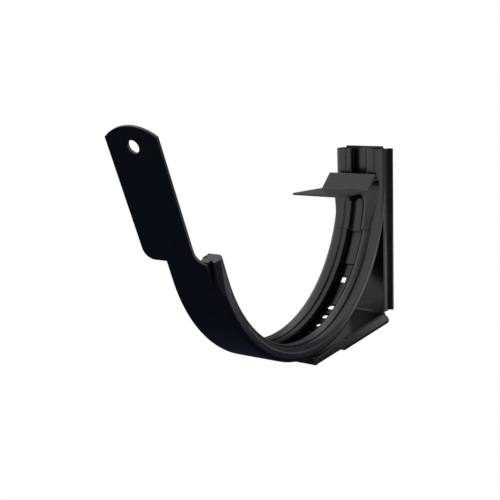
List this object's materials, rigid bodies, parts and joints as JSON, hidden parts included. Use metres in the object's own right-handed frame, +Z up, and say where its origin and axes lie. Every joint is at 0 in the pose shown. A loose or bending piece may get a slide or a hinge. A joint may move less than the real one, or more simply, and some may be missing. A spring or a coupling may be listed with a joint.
{
  "type": "gutter bracket",
  "caption": "Wall bracket for a half-round gutter: a rolled C-section strap with a fold-over front tab, a rear spring clip and a folded wall plate with a brace foot.",
  "frame": {"origin": "centre of the half circle that the gutter lies in, in the middle of the strap's width", "axes": "+X along the gutter, +Y into the wall, +Z up"},
  "size_m": [0.0421, 0.2043, 0.1409],
  "materials": {
    "strap_coat": "satin black powder coat",
    "clip_coat": "satin black powder coat",
    "plate_coat": "satin black powder coat"
  },
  "bodies": {
    "root": {"strap": "strap_coat", "clip": "clip_coat", "wall_plate": "plate_coat"}
  },
  "joints": []
}
